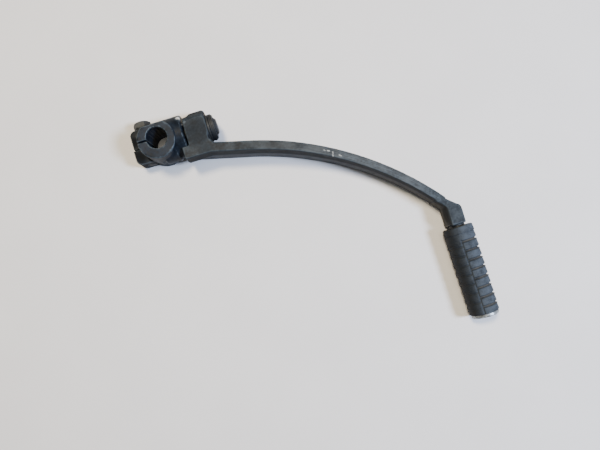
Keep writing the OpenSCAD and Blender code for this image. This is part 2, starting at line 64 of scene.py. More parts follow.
PAIR = np.zeros(2, np.int32)


class Body(Enum):
    """The two bodies that the fold joint parts."""

    HUB = "hub"
    ARM = "arm"


class Slot(Enum):
    """The record's material slots for paint, bolt steel and rubber; nothing in this script reads
    them.
    """

    PAINT = "painted_steel"
    BOLT = "bolt_steel"
    RUBBER = "black_rubber"


class Ends(Enum):
    """How the first and last rows of a grid of points are closed."""

    CAPPED = "a fan of faces in each end"
    LOOPED = "the last row joins the first"


# Shapes


def smoothstep(low: float, high: float, x: np.ndarray) -> np.ndarray:
    """Rises from 0 at low to 1 at high, level at both ends.

    Args:
        low: Value of x where the step starts.
        high: Value of x where it is complete.
        x: Any array.

    Returns:
        3t^2 - 2t^3 of the clipped share t of the way from low to high.
    """
    t = np.clip((x - low) / (high - low), 0.0, 1.0)
    return t * t * (3.0 - 2.0 * t)


def near(distance: np.ndarray, half_width: float, softness: float) -> np.ndarray:
    """One inside half_width of zero, falling to zero over softness."""
    return 1.0 - smoothstep(half_width, half_width + softness, np.abs(distance))


@dataclass(frozen=True)
class Axis:
    """Local frame of a turned piece: its z runs along the piece and its x points to up."""

    origin: Point
    along: Point
    up: Point

    def turned(self, radius: np.ndarray, height: np.ndarray, angle: np.ndarray) -> np.ndarray:
        """Points of a surface round the axis, x = r cos a, y = r sin a, z = height.

        Args:
            radius: Radius for each height and angle, as rows and columns.
            height: Height of each row.
            angle: Angle of each column from up.

        Returns:
            Rows by columns by 3, in the row frame's metres.
        """
        z = np.array(self.along) / np.linalg.norm(self.along)
        x = np.array(self.up) - np.dot(self.up, z) * z
        x /= np.linalg.norm(x)
        rise = np.broadcast_to(height[:, None], radius.shape)
        local = np.stack([radius * np.cos(angle), radius * np.sin(angle), rise], axis=-1)
        return (np.array(self.origin) + local @ np.stack([x, np.cross(z, x), z])) * MM


def columns_round(count: int) -> np.ndarray:
    """Angles of a grid's columns, spaced evenly round its axis."""
    return np.arange(count) * 2.0 * math.pi / count


def grid_mesh(name: str, points: np.ndarray, ends: Ends) -> bpy.types.Mesh:
    """Closed mesh on a grid whose columns run round.

    Args:
        name: Name of the mesh.
        points: Rows by columns by 3, in metres.
        ends: How the first and last rows are closed.

    Returns:
        The mesh, faces outwards, each quad joining point (i, j) to its next row and column.
    """
    rows, columns = points.shape[:2]
    last = rows if ends is Ends.LOOPED else rows - 1
    i, j = np.meshgrid(np.arange(last), np.arange(columns), indexing="ij")
    i2, j2 = (i + 1) % rows, (j + 1) % columns
    corners = [i * columns + j, i * columns + j2, i2 * columns + j2, i2 * columns + j]
    faces = np.stack(corners, axis=-1).reshape(-1, 4).tolist()
    vertices = points.reshape(-1, 3)
    if ends is Ends.CAPPED:
        vertices = np.vstack([vertices, points[0].mean(axis=0), points[-1].mean(axis=0)])
        ring, turn = np.arange(columns), (np.arange(columns) + 1) % columns
        middle = np.full(columns, rows * columns)
        last_ring = (rows - 1) * columns
        faces += np.stack([ring, middle, turn], axis=-1).tolist()
        faces += np.stack([last_ring + ring, last_ring + turn, middle + 1], axis=-1).tolist()
    mesh = bpy.data.meshes.new(name)
    mesh.from_pydata(vertices.tolist(), [], faces)
    work = bmesh.new()
    work.from_mesh(mesh)
    bmesh.ops.recalc_face_normals(work, faces=work.faces)
    work.to_mesh(mesh)
    work.free()
    return mesh


def shade(mesh: bpy.types.Mesh, sharp_degrees: float | None = None) -> None:
    """Smooths a mesh's shading, but not over edges sharper than an angle.

    Args:
        mesh: Mesh to shade.
        sharp_degrees: Angle between faces from which an edge stays sharp, or None if none does.
    """
    mesh.polygons.foreach_set("use_smooth", np.ones(len(mesh.polygons), bool))
    if sharp_degrees is not None:
        mesh.set_sharp_from_angle(angle=math.radians(sharp_degrees))


def set_values(mesh: bpy.types.Mesh, name: str, values: np.ndarray) -> None:
    """Stores one number for each vertex, for a material to read.

    Args:
        mesh: Mesh that gets the attribute.
        name: Name of the attribute.
        values: One value for each vertex.
    """
    attribute = mesh.attributes.new(name, "FLOAT", "POINT")
    attribute.data.foreach_set("value", values.astype(np.float32))


def read_rows(items: bpy.types.bpy_prop_collection, key: str, blank: np.ndarray) -> np.ndarray:
    """Reads one property of all vertices, edges or normals of a mesh.

    Args:
        items: The vertices, edges or normals.
        key: Name of the property.
        blank: One item's value, for its length and its type.

    Returns:
        The values, one row for each item.
    """
    rows = np.tile(blank, len(items))
    items.foreach_get(key, rows)
    return rows.reshape(len(items), -1)


def relax(points: np.ndarray, pairs: np.ndarray, passes: int) -> np.ndarray:
    """Rounds a surface: at each pass a point moves half way to the mean of its neighbours.

    Args:
        points: Vertex places, one row each.
        pairs: Vertex pairs of the edges.
        passes: Number of passes.

    Returns:
        The moved places.
    """
    here, there = np.concatenate([pairs, pairs[:, ::-1]]).T
    count = np.bincount(here, minlength=len(points))[:, None]
    for _ in range(passes):
        sums = [np.bincount(here, points[there, k], len(points)) for k in range(3)]
        points = 0.5 * points + 0.5 * np.stack(sums, axis=1) / count
    return points


def link_object(name: str, data: bpy.types.ID) -> bpy.types.Object:
    """Makes an object and links it to the scene.

    Args:
        name: Name of the object.
        data: Its mesh, lamp or camera.

    Returns:
        The object.
    """
    made = bpy.data.objects.new(name, data)
    bpy.context.scene.collection.objects.link(made)
    return made


def add_piece(
    mesh: bpy.types.Mesh, material: bpy.types.Material, body: Body, replaced: str
) -> bpy.types.Object:
    """Makes a finished mesh a piece of the lever and reports it.

    Args:
        mesh: Finished mesh, in the row frame.
        material: Its finish.
        body: Body that it rides on.
        replaced: CAD node that it stands for.

    Returns:
        The new object.
    """
    mesh.materials.clear()
    mesh.materials.append(material)
    piece = link_object(mesh.name, mesh)
    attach(piece, body.value)
    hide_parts(replaced)
    log.info("%s: %d faces, rides on %s", piece.name, len(mesh.polygons), body.value)
    return piece


# Shader maths


class Wire:
    """One output socket of a shader node, with Python's arithmetic on it."""

    def __init__(self, bench: "Bench", socket: bpy.types.NodeSocket) -> None:
        """Wraps a socket of a bench's material."""
        self.bench = bench
        self.socket = socket

    def _math(self, operation: str, *values: "Wire | float") -> "Wire":
        """Adds a Math node on the values and returns its result."""
        return self.bench.node("ShaderNodeMath", {"operation": operation}, dict(enumerate(values)))

    def __add__(self, other: "Wire | float") -> "Wire":
        """Sum of this value and another."""
        return self._math("ADD", self, other)

    def __radd__(self, other: float) -> "Wire":
        """Sum of a number and this value."""
        return self._math("ADD", other, self)

    def __sub__(self, other: "Wire | float") -> "Wire":
        """This value less another."""
        return self._math("SUBTRACT", self, other)

    def __rsub__(self, other: float) -> "Wire":
        """A number less this value."""
        return self._math("SUBTRACT", other, self)

    def __mul__(self, other: "Wire | float") -> "Wire":
        """Product of this value and another."""
        return self._math("MULTIPLY", self, other)

    def __rmul__(self, other: float) -> "Wire":
        """Product of a number and this value."""
        return self._math("MULTIPLY", other, self)

    def highest(self, *others: "Wire") -> "Wire":
        """The highest of this value and others, by one MAXIMUM node for each of them."""
        return reduce(lambda top, other: self._math("MAXIMUM", top, other), others, self)

    def swing(self, reach: float) -> "Wire":
        """This noise as an offset that swings round zero, by half of reach to each side."""
        return (self - 0.5) * reach

    def step(self, low: float, high: float) -> "Wire":
        """Smooth rise from 0 to 1 as this value goes from low to high, or a fall if low > high.

        Args:
            low: Value that gives 0.
            high: Value that gives 1.

        Returns:
            The risen value, 0 to 1.
        """
        if low > high:
            return 1.0 - self.step(high, low)
        sockets = {"Value": self, "From Min": low, "From Max": high}
        return self.bench.node("ShaderNodeMapRange", {"interpolation_type": "SMOOTHSTEP"}, sockets)


class Bench:
    """Builds one material's node tree."""

    def __init__(self, name: str) -> None:
        """Starts a material with a Principled shader.

        Args:
            name: Name of the material.
        """
        self.material = bpy.data.materials.new(name)
        self.material.use_nodes = True
        self.tree = self.material.node_tree
        self.shader = self.tree.nodes["Principled BSDF"]
        place = self.node("ShaderNodeTexCoord", {}, {}, "Object")
        self.place_mm = self.vector("MULTIPLY", place, (1.0 / MM,) * 3)

    def node(self, kind: str, settings: dict, sockets: dict, output: str | int = 0) -> Wire:
        """Adds any node.

        Args:
            kind: Node type.
            settings: Properties of the node, set before its sockets.
            sockets: Values or wires for its inputs, by name or number.
            output: Name or number of the wanted output.

        Returns:
            The wanted output.
        """
        made = self.tree.nodes.new(kind)
        for key, value in settings.items():
            setattr(made, key, value)
        for key, value in sockets.items():
            if isinstance(value, Wire):
                self.tree.links.new(value.socket, made.inputs[key])
            else:
                made.inputs[key].default_value = value
        return Wire(self, made.outputs[output])

    def vector(self, operation: str, *values: "Wire | Point") -> Wire:
        """Vector Math on the values.

        Args:
            operation: Name of the operation.
            *values: Vectors or wires.

        Returns:
            The resulting vector, or number for DISTANCE and DOT_PRODUCT.
        """
        output = 1 if operation in ("DISTANCE", "DOT_PRODUCT") else 0
        settings, sockets = {"operation": operation}, dict(enumerate(values))
        return self.node("ShaderNodeVectorMath", settings, sockets, output)

    def value(self, attribute: str) -> Wire:
        """A number that the mesh carries on its vertices."""
        return self.node("ShaderNodeAttribute", {"attribute_name": attribute}, {}, "Fac")

    def noise(self, where: Wire, octaves: float = 4.0) -> Wire:
        """Noise of 0 to 1 round 0.5 at a place, with a number of finer octaves."""
        sockets = {"Vector": where, "Scale": 1.0, "Detail": octaves}
        return self.node("ShaderNodeTexNoise", {}, sockets)

    def grains(self, *pitches: float, octaves: float = 4.0) -> list[Wire]:
        """Noises on Object coordinates, from coarse to fine.

        Args:
            *pitches: Size of each one's largest features in millimetres.
            octaves: Number of finer octaves of the first one.

        Returns:
            One noise for each pitch, each with an octave less than the one before.
        """
        places = [self.vector("MULTIPLY", self.place_mm, (1.0 / pitch,) * 3) for pitch in pitches]
        return [self.noise(place, octaves - k) for k, place in enumerate(places)]

    def mix(self, share: Wire, first: "Wire | Colour", second: "Wire | Colour") -> Wire:
        """Colour that goes from first to second as share goes from 0 to 1.

        Args:
            share: Mixing share.
            first: Colour at 0.
            second: Colour at 1.

        Returns:
            The mixed colour.
        """
        ends = {
            key: value if isinstance(value, Wire) else (*value, 1.0)
            for key, value in ((6, first), (7, second))
        }
        return self.node("ShaderNodeMix", {"data_type": "RGBA"}, {0: share, **ends}, 2)

    def segment(self, start: Point, end: Point, half_width: float) -> Wire:
        """Mask of a straight mark with soft edges.

        Args:
            start: First end in millimetres.
            end: Last end.
            half_width: Half its width.

        Returns:
            A step of the distance to the segment's nearest point: 1 up to half of half_width, and
            0 from one and a half times half_width.
        """
        run = np.subtract(end, start)
        offset = self.vector("SUBTRACT", self.place_mm, start)
        share = self.vector("DOT_PRODUCT", offset, tuple(run / np.dot(run, run)))
        share = self.node("ShaderNodeClamp", {}, {"Value": share})
        nearest = {k: share * float(run[k]) for k in range(3)}
        foot = self.node("ShaderNodeCombineXYZ", {}, nearest)
        return self.vector("DISTANCE", offset, foot).step(half_width * 1.5, half_width * 0.5)

    def bump(self, height: Wire, depth: float) -> None:
        """Roughens the normal by a height in millimetres.

        Args:
            height: Height, 0 to 1.
            depth: Depth in millimetres that a height of 1 stands for.
        """
        sockets = {"Strength": 1.0, "Distance": depth * MM, "Height": height}
        self.feed("Normal", self.node("ShaderNodeBump", {}, sockets))

    def feed(self, socket: str, value: "Wire | float | Colour") -> None:
        """Sets or links one input of the shader.

        Args:
            socket: Name of the input.
            value: Number, colour or wire.
        """
        target = self.shader.inputs[socket]
        if isinstance(value, Wire):
            self.tree.links.new(value.socket, target)
        else:
            target.default_value = (*value, 1.0) if isinstance(value, tuple) else value


# Finishes


class Finish:
    """A finish of one kind of surface, which can be laid on a new material."""

    def lay(self, bench: Bench) -> None:
        """Feeds the shader of a bench. Each finish has its own way."""
        raise NotImplementedError

    def material(self, name: str) -> bpy.types.Material:
        """Makes a material with this finish.

        Args:
            name: Name of the material.

        Returns:
            The material.
        """
        bench = Bench(name)
        self.lay(bench)
        return bench.material


@dataclass(frozen=True)
class WornPaint(Finish):
    """Grey-black paint on forged steel, rubbed through at edges and where things touched it. Its
    grime coat is also painted shade, in concave corners and in given spots and a band; its dust
    coat is also painted bounce light at the foot of the sides, and its chalky film also a painted
    sheen on top.

    A Span says where one kind of wear, dirt or painted light begins and where it is complete, a
    reach is how far noise moves that, and a cover is the share by which it hides what is under it.
    Hair rates are turns of noise per millimetre along and across the blade.
    """

    edge_wear: float
    shine: float
    light: Colour
    dark: Colour = (0.0040, 0.0060, 0.0095)
    bare: Colour = (0.080, 0.100, 0.120)
    bright: Colour = (0.60, 0.61, 0.60)
    # The grime colour is also painted shade, the dust colour also painted bounce light and the
    # chalk colour also a painted sheen.
    grime_and_shade: Colour = (0.005, 0.006, 0.008)
    dust_and_light: Colour = (0.060, 0.054, 0.046)
    chalk_sheen: Colour = (0.098, 0.104, 0.107)
    pitches: tuple[float, ...] = (8.0, 1.5, 0.35)
    hair_rates: tuple[float, float] = (0.09, 2.4)
    clouding: Span = (0.32, 0.68)
    chipping: Span = (0.045, 0.13)
    rubbing: Span = (0.45, 0.95)
    polishing: Span = (1.0, 1.25)
    soiling_and_shade: Span = (0.03, 0.16)
    grime_shading: Span = (0.2, 0.8)
    dust_and_light_span: Span = (0.35, 0.6)
    sheen_patching: Span = (0.3, 0.7)
    scratching: Span = (0.3125, 0.5625)
    chip_reaches: tuple[float, float] = (0.16, 0.14)
    rub_reach: float = 0.7
    polish_reach: float = 0.5
    soil_shade_reach: float = 0.12
    grime_shade_reach: float = 0.8
    rub_cover: float = 0.55
    soil_and_shade_cover: float = 0.8
    dust_and_light_cover: float = 0.6
    sheen_least: float = 0.15
    sheen_patches: float = 0.5
    scratch_cover: float = 0.4
    metallic: float = 0.7
    roughness: float = 0.47
    rough_specks: float = 0.22
    rub_smooths: float = 0.08
    soil_dulls: float = 0.25
    bump_depth: float = 0.22
    scratch_half_w: float = 0.36
    scratches: tuple[tuple[Point, Point], ...] = (
        ((96.9, -36.8, 22.40), (99.9, -38.2, 22.21)),
        ((101.8, -39.4, 22.08), (101.2, -42.0, 22.12)),
        ((105.0, -42.2, 21.87), (106.2, -43.2, 21.80)),
    )

    def hairs(self, bench: Bench) -> Wire:
        """Noise in fine lines that follow the blade, on the mesh's along and across values."""
        along, across = bench.value("along"), bench.value("across")
        lanes = {0: along * self.hair_rates[0], 1: across * self.hair_rates[1]}
        return bench.noise(bench.node("ShaderNodeCombineXYZ", {}, lanes))

    def lay(self, bench: Bench) -> None:
        """Lays coats over each other, from grime with painted shade to scratches.

        They read the mesh's edge, rub, painted shade and grime, foot, chalky haze and painted
        sheen, along and across values.

        Args:
            bench: Bench of the material.
        """
        edge, rub, grime_shade = bench.value("edge"), bench.value("rub"), bench.value("grime_shade")
        cloud, speck, fine = bench.grains(*self.pitches)
        hair = self.hairs(bench)

        by_speck, by_cloud = self.chip_reaches
        chipped = (edge + speck.swing(by_speck) + cloud.swing(by_cloud)).step(*self.chipping)
        worn = chipped * self.edge_wear
        uneven = speck.swing(self.rub_reach) + hair.swing(self.rub_reach)
        rubbed = (rub + uneven).step(*self.rubbing)
        polished = (rub + fine.swing(self.polish_reach)).step(*self.polishing)
        marks = [bench.segment(start, end, self.scratch_half_w) for start, end in self.scratches]
        scratch = marks[0].highest(*marks[1:]) * speck.step(*self.scratching) * self.scratch_cover

        # Grime with painted shade: concave corners, where the edge value falls below 0, and the
        # given shade spots and band go dark.
        grime_shaded = (grime_shade + cloud.swing(self.grime_shade_reach)).step(*self.grime_shading)
        soiled_and_shaded = (cloud.swing(self.soil_shade_reach) - edge).step(*self.soiling_and_shade).highest(grime_shaded)
        # Dust with painted bounce light: paler and browner at the foot of the side faces.
        dusty_and_lit = bench.value("foot") * (cloud * 0.5 + speck * 0.5).step(*self.dust_and_light_span)
        # Chalky film with a painted sheen: paler and bluer on the arm's upward faces.
        patches = (hair * 0.7 + cloud * 0.3).step(*self.sheen_patching)
        hazy_sheen = bench.value("haze_sheen") * (self.sheen_least + patches * self.sheen_patches)

        colour = bench.mix((cloud * 0.6 + speck * 0.4).step(*self.clouding), self.dark, self.light)
        for cover, coat in (
            (soiled_and_shaded * self.soil_and_shade_cover, self.grime_and_shade),
            (dusty_and_lit * self.dust_and_light_cover, self.dust_and_light),
            (hazy_sheen, self.chalk_sheen),
            (worn.highest(rubbed * self.rub_cover), self.bare),
            (polished.highest(scratch), self.bright),
        ):
            colour = bench.mix(cover, colour, coat)
        matt = self.roughness + speck.swing(self.rough_specks) + soiled_and_shaded * self.soil_dulls
        bench.feed("Base Color", colour)
        bench.feed("Metallic", worn.highest(polished, scratch) * self.metallic)
        bench.feed("Roughness", matt - worn.highest(rubbed) * self.rub_smooths)
        bench.feed("Specular IOR Level", self.shine)
        bench.bump(cloud * 0.5 + speck * 0.35 + fine * 0.15 - worn * 0.12, self.bump_depth)


@dataclass(frozen=True)
class DullSteel(Finish):
    """Plain steel, clean in places and dulled by oil and dirt in others, in a random cloud."""

    clean: Colour
    dull: Colour
    roughness: float
    metallic: float = 0.85
    pitches: tuple[float, ...] = (3.5, 0.5)
    dulling: Span = (0.36, 0.66)
    bump_depth: float = 0.05

    def lay(self, bench: Bench) -> None:
        """Mixes the clean and the dull steel over Object coordinates.

        Args:
            bench: Bench of the material.
        """
        cloud, speck = bench.grains(*self.pitches)
        dulled = (cloud * 0.65 + speck * 0.35).step(*self.dulling)
        bench.feed("Base Color", bench.mix(dulled, self.clean, self.dull))
        bench.feed("Metallic", self.metallic * (1.0 - dulled * 0.5))
        bench.feed("Roughness", self.roughness + speck.swing(0.2) + dulled * 0.12)
        bench.bump(cloud * 0.4 + speck * 0.6, self.bump_depth)


@dataclass(frozen=True)
class RubberWithPaintedLight(Finish):
    """Moulded black rubber, with dust and a painted bluish highlight on the crowns of the side that
    faces the fill lamp, and a painted brownish shade tint on the other side.
    """

    black: Colour = (0.011, 0.014, 0.018)
    # The dust colour is also a painted highlight, and the brown colour a painted shade tint.
    dust_and_light: Colour = (0.078, 0.096, 0.122)
    shade_brown: Colour = (0.016, 0.015, 0.014)
    silt: Colour = (0.085, 0.075, 0.060)
    pitches: tuple[float, ...] = (5.0, 0.7, 0.22)
    lit_side: Span = (-0.75, 0.65)
    silty_side: Span = (-0.3, 0.5)
    shaded_side: Span = (0.1, -0.7)
    dust_and_light_span: Span = (0.25, 0.62)
    silting: Span = (0.3, 0.6)
    treading_and_shade: Span = (0.4, 0.62)
    dust_light_in_grooves: float = 0.4
    dust_and_light_cover: float = 0.6
    silt_cover: float = 0.5
    tread_shade_cover: float = 0.8
    roughness: float = 0.62
    shine: float = 0.12
    bump_depth: float = 0.16

    def lay(self, bench: Bench) -> None:
        """Lays dust with a painted highlight on one side's crowns, silt on its groove floors and a
        painted brownish shade tint on the other side.

        They read the mesh's crown and side values.

        Args:
            bench: Bench of the material.
        """
        crown, side = bench.value("crown"), bench.value("side")
        cloud, speck, fine = bench.grains(*self.pitches)
        # Dust with a painted highlight: paler and bluer on the crowns of the side that faces the
        # fill lamp.
        raised = crown * (1.0 - self.dust_light_in_grooves) + self.dust_light_in_grooves
        dust_light_patches = (cloud * 0.6 + speck * 0.4).step(*self.dust_and_light_span)
        dusty_and_lit = raised * side.step(*self.lit_side) * dust_light_patches
        silt_patches = (cloud * 0.5 + speck * 0.5).step(*self.silting)
        silted = (1.0 - crown) * side.step(*self.silty_side) * silt_patches
        # Painted shade: a brownish tint on the side away from the fill lamp.
        trodden_and_shaded = side.step(*self.shaded_side) * (cloud * 0.4 + speck * 0.6).step(*self.treading_and_shade)
        colour = bench.mix(trodden_and_shaded * self.tread_shade_cover, self.black, self.shade_brown)
        colour = bench.mix(dusty_and_lit * self.dust_and_light_cover, colour, self.dust_and_light)
        colour = bench.mix(silted * self.silt_cover, colour, self.silt)
        bench.feed("Base Color", colour)
        bench.feed("Roughness", self.roughness + speck.swing(0.25) + dusty_and_lit * 0.12)
        bench.feed("Specular IOR Level", self.shine)
        bench.bump(cloud * 0.3 + speck * 0.4 + fine * 0.3, self.bump_depth)


@dataclass(frozen=True)
class PalePaper(Finish):
    """Plain pale floor with a faint unevenness."""

    pale: Colour = (0.70, 0.685, 0.69)
    shade: Colour = (0.675, 0.66, 0.665)
    pitches: tuple[float, ...] = (60.0, 1.2)
    shading: Span = (0.35, 0.65)
    roughness: float = 0.85
    shine: float = 0.2

    def lay(self, bench: Bench) -> None:
        """Mixes the pale and the shaded paper over Object coordinates.

        Args:
            bench: Bench of the material.
        """
        cloud, grain = bench.grains(*self.pitches, octaves=3.0)
        shaded = (cloud * 0.7 + grain * 0.3).step(*self.shading)
        bench.feed("Base Color", bench.mix(shaded, self.pale, self.shade))
        bench.feed("Roughness", self.roughness)
        bench.feed("Specular IOR Level", self.shine)


# Sub-assemblies


@dataclass(frozen=True)
class Spot:
    """A rubbed place, or a place darkened by painted shade and grime, with a strength of up to
    about 1.4.
    """

    centre: Point
    reach: float
    strength: float
    core: float = 0.4

    def value(self, places: np.ndarray) -> np.ndarray:
        """The strength inside the core's share of the reach, falling to 0 one reach further out."""
        distance = np.linalg.norm(places - np.array(self.centre), axis=1)
        return self.strength * near(distance, self.reach * self.core, self.reach)


def spot_value(spots: tuple[Spot, ...], places: np.ndarray) -> np.ndarray:
    """The highest of several spots' values at each place, or 0."""
    return np.max([np.zeros(len(places)), *(spot.value(places) for spot in spots)], axis=0)


@dataclass
class Forging:
    """A forged and painted piece with the soft edges that its die gave it.

    The piece is a copy of its CAD solid, cut into small even faces and relaxed, so its holes and
    its outline stay where the solid has them. The edge value is the height in millimetres that a
    point stands over the surface relaxed further: above 0 on an outer edge, below 0 in a corner.
    The arc is the one that the middle line of the blade follows.
    """

    node: str
    name: str
    body: Body
    voxel: float
    round_passes: int
    rubs: tuple[Spot, ...]
    grime_shade_spots: tuple[Spot, ...]
    weld: float = 0.002
    most_moved: float = 0.45
    edge_passes: int = 14
    arc_centre: tuple[float, float] = (1.7, -218.5)
    arc_r: float = 204.7

    def add_solids(self, work: bmesh.types.BMesh) -> None:
        """Adds small solids to the copy before it is cut into faces. Most forgings need none."""

    def wear(self, places: np.ndarray, normals: np.ndarray) -> dict[str, np.ndarray]:
        """Values of wear, dirt and painted light, for the paint to read.

        Args:
            places: Vertex places in millimetres.
            normals: Vertex normals.

        Returns:
            The spots' rub values and their painted shade and grime values, and no dust or painted
            bounce light at the foot and no chalky film or painted sheen.
        """
        none = np.zeros(len(normals))
        rub, grime_shade = spot_value(self.rubs, places), spot_value(self.grime_shade_spots, places)
        return {"rub": rub, "grime_shade": grime_shade, "foot": none, "haze_sheen": none}

    def along(self, places: np.ndarray) -> np.ndarray:
        """Distance along the arc from its northmost point: its radius times the angle."""
        east, north = (places[:, :2] - np.array(self.arc_centre)).T
        return np.arctan2(east, north) * self.arc_r

    def across(self, places: np.ndarray) -> np.ndarray:
        """Distance outwards from the arc: the distance to its centre, less its radius."""
        return np.linalg.norm(places[:, :2] - np.array(self.arc_centre), axis=1) - self.arc_r

    def solid(self) -> bpy.types.Mesh:
        """The CAD node's mesh, with its loose triangles joined and cut into even faces.

        Returns:
            A voxel remesh of the copy and of the solids added to it.
        """
        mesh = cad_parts[self.node].data.copy()
        work = bmesh.new()
        work.from_mesh(mesh)
        bmesh.ops.remove_doubles(work, verts=work.verts, dist=self.weld * MM)
        self.add_solids(work)
        work.to_mesh(mesh)
        work.free()
        carrier = link_object(self.name + "_carrier", mesh)
        even = carrier.modifiers.new("even", "REMESH")
        even.mode = "VOXEL"
        even.voxel_size = self.voxel * MM
        evaluated = carrier.evaluated_get(bpy.context.evaluated_depsgraph_get())
        made = bpy.data.meshes.new_from_object(evaluated)
        made.name = self.name
        bpy.data.objects.remove(carrier)
        return made

    def rounded(self, points: np.ndarray, pairs: np.ndarray) -> np.ndarray:
        """Rounds the edges, but leaves thin lips standing.

        Args:
            points: Vertex places in metres.
            pairs: Vertex pairs of the edges.

        Returns:
            The relaxed places, none further than most_moved from where it was.
        """
        moved = relax(points, pairs, self.round_passes) - points
        length = np.linalg.norm(moved, axis=1, keepdims=True)
        return points + moved * np.minimum(1.0, self.most_moved * MM / np.maximum(length, TINY))

    def build(self, material: bpy.types.Material) -> bpy.types.Object:
        """Makes the piece.

        Args:
            material: Its finish.

        Returns:
            The piece, which replaces its CAD node.
        """
        mesh = self.solid()
        pairs = read_rows(mesh.edges, "vertices", PAIR)
        points = self.rounded(read_rows(mesh.vertices, "co", VECTOR).astype(float), pairs)
        mesh.vertices.foreach_set("co", points.astype(np.float32).ravel())
        mesh.update()
        normals = read_rows(mesh.vertex_normals, "vector", VECTOR).astype(float)
        places = points / MM
        lifted = points - relax(points, pairs, self.edge_passes)
        set_values(mesh, "edge", (lifted * normals).sum(axis=1) / MM)
        for kind, value in self.wear(places, normals).items():
            set_values(mesh, kind, value)
        set_values(mesh, "along", self.along(places))
        set_values(mesh, "across", self.across(places))
        shade(mesh)
        return add_piece(mesh, material, self.body, self.node)


@dataclass
class HubForging(Forging):
    """Boss, clamp ears and round neck, whose slit the pinch bolt draws together.

    The pinch begins at the first place of pinch_x behind the bore and is complete at the second.
    """

    node: str = "clamp_hub"
    name: str = "hub_forging"
    body: Body = Body.HUB
    voxel: float = 0.30
    round_passes: int = 4
    rubs: tuple[Spot, ...] = (
        Spot((15.4, 8.9, 22.0), 2.5, 1.22),
        Spot((8.9, -13.6, 9.5), 2.2, 1.2),
        Spot((7.1, -10.3, 26.5), 2.6, 0.75),
        Spot((-13.6, 8.5, 13.4), 2.5, 0.7),
    )
    # Painted shade: these spots darken the clamp ears' outer ends and lower sides and the gap by
    # the barrel, where the lamps leave shade.
    grime_shade_spots: tuple[Spot, ...] = (
        Spot((-17.5, 5.0, 9.0), 6.0, 1.0),
        Spot((-18.0, -6.0, 9.0), 7.5, 1.0),
        Spot((-10.0, -10.0, 6.0), 6.0, 0.9),
        Spot((-8.0, 11.5, 10.0), 5.0, 0.8),
        Spot((15.0, -2.0, 22.0), 4.5, 0.7),
        Spot((11.5, -11.0, 16.0), 4.0, 0.9),
    )
    pinch: float = 0.38
    pinch_x: Span = (-9.0, -17.0)
    slit_half_w: float = 0.9
    pinch_fade: float = 4.0

    def rounded(self, points: np.ndarray, pairs: np.ndarray) -> np.ndarray:
        """Rounds the edges and draws the slit's walls together, as the tightened bolt does.

        Args:
            points: Vertex places in metres.
            pairs: Vertex pairs of the edges.

        Returns:
            The rounded places, moved along Y towards the slit's middle by up to pinch, which rises
            with the distance behind the bore and falls off away from the slit.
        """
        moved = super().rounded(points, pairs)
        x, y = moved[:, 0] / MM, moved[:, 1] / MM
        drawn = smoothstep(*self.pinch_x, x) * near(y, self.slit_half_w, self.pinch_fade)
        moved[:, 1] -= np.sign(y) * self.pinch * MM * drawn
        return moved


